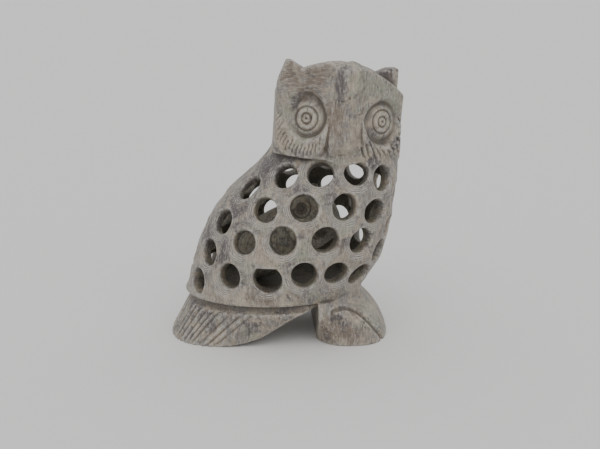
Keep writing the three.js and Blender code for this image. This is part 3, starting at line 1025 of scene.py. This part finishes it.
class Shader:
    """One material's nodes. Places are in millimetres."""

    def __init__(self, name, shift):
        self.material = bpy.data.materials.new(name)
        self.material.use_nodes = True
        self.tree = self.material.node_tree
        self.surface = self.tree.nodes["Principled BSDF"]
        spot = self.add("ShaderNodeTexCoord").outputs["Object"]
        self.spot = self.vector("MULTIPLY_ADD", spot, (1 / MM,) * 3, shift)

    def add(self, kind, **settings):
        node = self.tree.nodes.new(kind)
        for name, value in settings.items():
            setattr(node, name, value)
        return node

    def put(self, socket, value):
        if isinstance(value, bpy.types.NodeSocket):
            self.tree.links.new(value, socket)
        else:
            socket.default_value = value

    def fill(self, node, values):
        """Fills a node's first inputs, and gives its first output."""
        for socket, value in zip(node.inputs, values):
            self.put(socket, value)
        return node.outputs[0]

    def vector(self, operation, *values):
        return self.fill(self.add("ShaderNodeVectorMath", operation=operation), values)

    def maths(self, operation, *values):
        return self.fill(self.add("ShaderNodeMath", operation=operation), values)

    def noise(self, spot, scale, detail=3, roughness=0.5, output="Fac"):
        """Noise whose clouds are about 1 / scale millimetres across. A scale for each axis makes streaks."""
        if isinstance(scale, tuple):
            spot = self.vector("MULTIPLY", spot, scale)
            scale = 1
        node = self.add("ShaderNodeTexNoise")
        self.put(node.inputs["Vector"], spot)
        self.put(node.inputs["Scale"], scale)
        self.put(node.inputs["Detail"], detail)
        self.put(node.inputs["Roughness"], roughness)
        return node.outputs[output]

    def rise(self, value, low, high, top=1):
        """Nothing at low, top at high."""
        node = self.add("ShaderNodeMapRange", interpolation_type="SMOOTHSTEP")
        return self.fill(node, (value, low, high, 0, top))

    def mix(self, share, a, b, blend="MIX"):
        node = self.add("ShaderNodeMix", data_type="RGBA", blend_type=blend)
        for socket, value in zip((node.inputs[0], node.inputs[6], node.inputs[7]), (share, a, b)):
            self.put(socket, (*value, 1) if isinstance(value, tuple) else value)
        return node.outputs[2]

    def lay(self, share, shade):
        """Lays a shade over the colour so far."""
        self.colour = self.mix(share, self.colour, shade)

    def stored(self, name):
        return self.add("ShaderNodeAttribute", attribute_name=name).outputs["Fac"]


BEIGE = (0.318, 0.27, 0.208)
GREY = (0.18, 0.168, 0.156)
GREENISH = (0.25, 0.256, 0.198)
BROWN = (0.175, 0.137, 0.105)
CREAM = (0.38, 0.33, 0.255)
PURPLE = (0.074, 0.063, 0.067)
VEIN = (0.05, 0.045, 0.044)
CHALK = (0.47, 0.445, 0.405)
# Painted shade, laid in grooves, creases and recesses and over the baby's eyes
RECESS_SHADE = (0.06, 0.048, 0.038)
# Painted shade for the walls inside the hollow, multiplied in more the deeper they lie
HOLLOW_SHADE = (0.5, 0.5, 0.46)
BABY_SHADE = (1.0, 1.02, 0.97)
BABY_SHIFT = (90, 20, 0)
MARK_PITCH = 0.68
PATCH_PULL = 0.26
BUMP_DEPTH = 0.25


def soapstone(name, shift, inner=False):
    """Clouded, veined stone with the marks of the file and chalky edges, with painted shade in its grooves,
    recesses and hollow.
    """
    stone = Shader(name, shift)
    bend = stone.vector("SUBTRACT", stone.noise(stone.spot, 0.08, 3, output="Color"), (0.5, 0.5, 0.5))
    spot = stone.vector("MULTIPLY_ADD", bend, (14, 14, 14), stone.spot)

    def away(steps):
        """The same clouds some way off, so that two kinds of patch don't share their outlines."""
        return stone.vector("ADD", spot, (40 * steps, -23 * steps, 31 * steps))

    def patch(name, place, scale, detail, low, high, top):
        """Clouds that gather along the stored streaks and are rare elsewhere."""
        cloud = stone.noise(place, scale, detail, 0.62)
        if not inner:
            cloud = stone.maths("MULTIPLY_ADD", stone.stored(name), PATCH_PULL, cloud)
        return stone.rise(cloud, low, high, top)

    stone.colour = stone.mix(stone.rise(stone.noise(spot, 0.17, 7, 0.68), 0.4, 0.6), BEIGE, GREY)
    stone.lay(patch("pale", away(8), 0.18, 6, 0.53, 0.75, 0.85), CREAM)
    stone.lay(patch("green", away(1), 0.16, 6, 0.52, 0.74, 0.9), GREENISH)
    stone.lay(patch("warm", away(2), 0.16, 6, 0.54, 0.76, 0.95), BROWN)
    stone.lay(patch("dark", away(3), 0.24, 7, 0.54, 0.74, 0.9), PURPLE)
    thin = stone.maths("ABSOLUTE", stone.maths("SUBTRACT", stone.noise(away(4), 0.13, 6, 0.62), 0.5))
    vein = stone.maths("SUBTRACT", 1, stone.rise(thin, 0.002, 0.022))
    vein = stone.maths("MULTIPLY", vein, stone.rise(stone.noise(away(5), 0.14, 2), 0.44, 0.6, 0.75))
    stone.lay(vein, VEIN)

    speck = stone.noise(stone.spot, 0.9, 5, 0.7)
    steady = stone.vector("MULTIPLY_ADD", bend, (3, 3, 3), stone.spot)
    upright = stone.noise(steady, (1.9, 1.9, 0.3), 4, 0.6)
    streak = upright
    if not inner:
        level = stone.noise(steady, (0.25, 0.6, 2.2), 4, 0.6)
        share = stone.rise(stone.stored("level_marks"), 0.3, 0.6)
        gap = stone.maths("SUBTRACT", level, upright)
        streak = stone.maths("MULTIPLY_ADD", gap, share, upright)
    stone.lay(stone.rise(streak, 0.5, 0.66, 0.42), CHALK)
    stone.lay(stone.rise(streak, 0.48, 0.34, 0.35), PURPLE)
    stone.lay(stone.rise(speck, 0.52, 0.7, 0.35), CHALK)
    stone.lay(stone.rise(speck, 0.46, 0.3, 0.45), VEIN)

    edge = stone.stored("edge")
    worn = stone.maths("MULTIPLY", stone.rise(edge, 0.3, 1.5, 0.5), stone.rise(speck, 0.42, 0.58))
    # Painted shade: darker in fine grooves and creases, and more widely where the stone shuts a place in
    crevice = stone.rise(stone.maths("MULTIPLY", edge, -1), 0.25, 1.6, 0.65)
    shut_in_shade = stone.rise(stone.stored("shut_in"), 0.1, 1.1, 0.5)
    stone.lay(worn, CHALK)
    if not inner:
        wander = stone.maths("MULTIPLY", stone.noise(stone.spot, 0.3, 4, 0.6), 13)
        turns = stone.maths("MULTIPLY_ADD", stone.stored("file_ring"), 2 * math.pi / MARK_PITCH, wander)
        line = stone.maths("SINE", turns)
        lip = stone.stored("lip")
        ragged = stone.rise(stone.noise(away(8), 0.45, 4, 0.65), 0.46, 0.58)
        light = stone.maths("MULTIPLY", stone.maths("MULTIPLY", stone.rise(line, 0, 0.9, 0.85), ragged), lip)
        shade = stone.maths("MULTIPLY", stone.maths("MULTIPLY", stone.rise(line, 0, -0.9, 0.5), ragged), lip)
        stone.lay(stone.maths("MULTIPLY", lip, 0.18), CHALK)
        stone.lay(light, CHALK)
        stone.lay(shade, PURPLE)
    # Lays the painted shade of grooves, creases and recesses
    stone.lay(crevice, RECESS_SHADE)
    stone.lay(shut_in_shade, RECESS_SHADE)
    if inner:
        # Painted shade over the baby's eyes
        stone.lay(stone.rise(stone.stored("eyes"), 0.4, 0.75, 0.8), RECESS_SHADE)
    # Painted shade inside the hollow: the deeper below the body's outer surface, the darker. The baby is only
    # tinted all over.
    deep = 1 if inner else stone.rise(stone.stored("depth"), 0.8, 3.2)
    dark = stone.mix(1, stone.colour, BABY_SHADE if inner else HOLLOW_SHADE, "MULTIPLY")
    stone.lay(deep, dark)
    stone.put(stone.surface.inputs["Base Color"], stone.colour)

    stone.put(stone.surface.inputs["Roughness"], stone.maths("MULTIPLY_ADD", speck, 0.3, 0.42))
    height = stone.maths("MULTIPLY", streak, 0.6)
    height = stone.maths("MULTIPLY_ADD", speck, 0.5, height)
    height = stone.maths("MULTIPLY_ADD", stone.noise(stone.spot, 2.2, 3, 0.6), 0.35, height)
    if not inner:
        height = stone.maths("MULTIPLY_ADD", stone.maths("MULTIPLY", line, lip), 0.3, height)
    bump = stone.add("ShaderNodeBump")
    stone.put(bump.inputs["Height"], height)
    bump.inputs["Distance"].default_value = BUMP_DEPTH * MM
    bump.inputs["Strength"].default_value = 0.9
    stone.put(stone.surface.inputs["Normal"], bump.outputs["Normal"])
    return stone.material


owl.data.materials.append(soapstone("soapstone", (0, 0, 0)))
baby.data.materials.append(soapstone("soapstone_inner", BABY_SHIFT, inner=True))


# Floor, light and camera

FLOOR_HALF = 15
TARGET = (4.53, 0, 39.14)
CAMERA_DISTANCE = 350.2
CAMERA_AZIMUTH = -3.5
CAMERA_ELEVATION = 14
FOCAL_PIXELS = 952
IMAGE_WIDTH = 600
SENSOR_WIDTH = 36


def make_floor():
    mesh = bpy.data.meshes.new("floor")
    corners = [(-FLOOR_HALF, -FLOOR_HALF, 0), (FLOOR_HALF, -FLOOR_HALF, 0), (FLOOR_HALF, FLOOR_HALF, 0)]
    mesh.from_pydata([*corners, (-FLOOR_HALF, FLOOR_HALF, 0)], [], [(0, 1, 2, 3)])
    floor = bpy.data.objects.new("floor", mesh)
    bpy.context.scene.collection.objects.link(floor)
    material = bpy.data.materials.new("floor")
    material.use_nodes = True
    shader = material.node_tree.nodes["Principled BSDF"]
    shader.inputs["Base Color"].default_value = (0.74, 0.735, 0.73, 1)
    shader.inputs["Roughness"].default_value = 0.9
    mesh.materials.append(material)


def direction(azimuth, elevation):
    a, e = math.radians(azimuth), math.radians(elevation)
    return Vector((math.sin(a) * math.cos(e), -math.cos(a) * math.cos(e), math.sin(e)))


def make_camera():
    data = bpy.data.cameras.new("camera")
    data.sensor_width = SENSOR_WIDTH
    data.lens = FOCAL_PIXELS * SENSOR_WIDTH / IMAGE_WIDTH
    data.clip_start = 0.01
    camera = bpy.data.objects.new("camera", data)
    bpy.context.scene.collection.objects.link(camera)
    target = (Vector(TARGET) - Vector((MIDDLE_X, 0, 0))) * MM
    back = direction(CAMERA_AZIMUTH, CAMERA_ELEVATION)
    camera.location = target + back * CAMERA_DISTANCE * MM
    camera.rotation_euler = (-back).to_track_quat("-Z", "Y").to_euler()
    bpy.context.scene.camera = camera


def make_sun(name, azimuth, elevation, spread, strength, colour):
    data = bpy.data.lights.new(name, "SUN")
    data.angle = math.radians(spread)
    data.energy = strength
    data.color = colour
    sun = bpy.data.objects.new(name, data)
    bpy.context.scene.collection.objects.link(sun)
    sun.rotation_euler = direction(azimuth, elevation).to_track_quat("Z", "Y").to_euler()


def make_world():
    world = bpy.data.worlds.new("studio")
    bpy.context.scene.world = world
    world.use_nodes = True
    background = world.node_tree.nodes["Background"]
    background.inputs["Color"].default_value = (0.9, 0.9, 0.9, 1)
    background.inputs["Strength"].default_value = 0.82


make_floor()
make_camera()
make_sun("key", 10, 52, 70, 0.92, (1, 0.985, 0.96))
make_sun("side", -75, 30, 80, 0.2, (0.97, 0.98, 1))
make_sun("fill", -5, 6, 110, 0.5, (1, 0.99, 0.97))
make_sun("back", 168, 24, 120, 0.6, (1, 1, 1))
make_world()
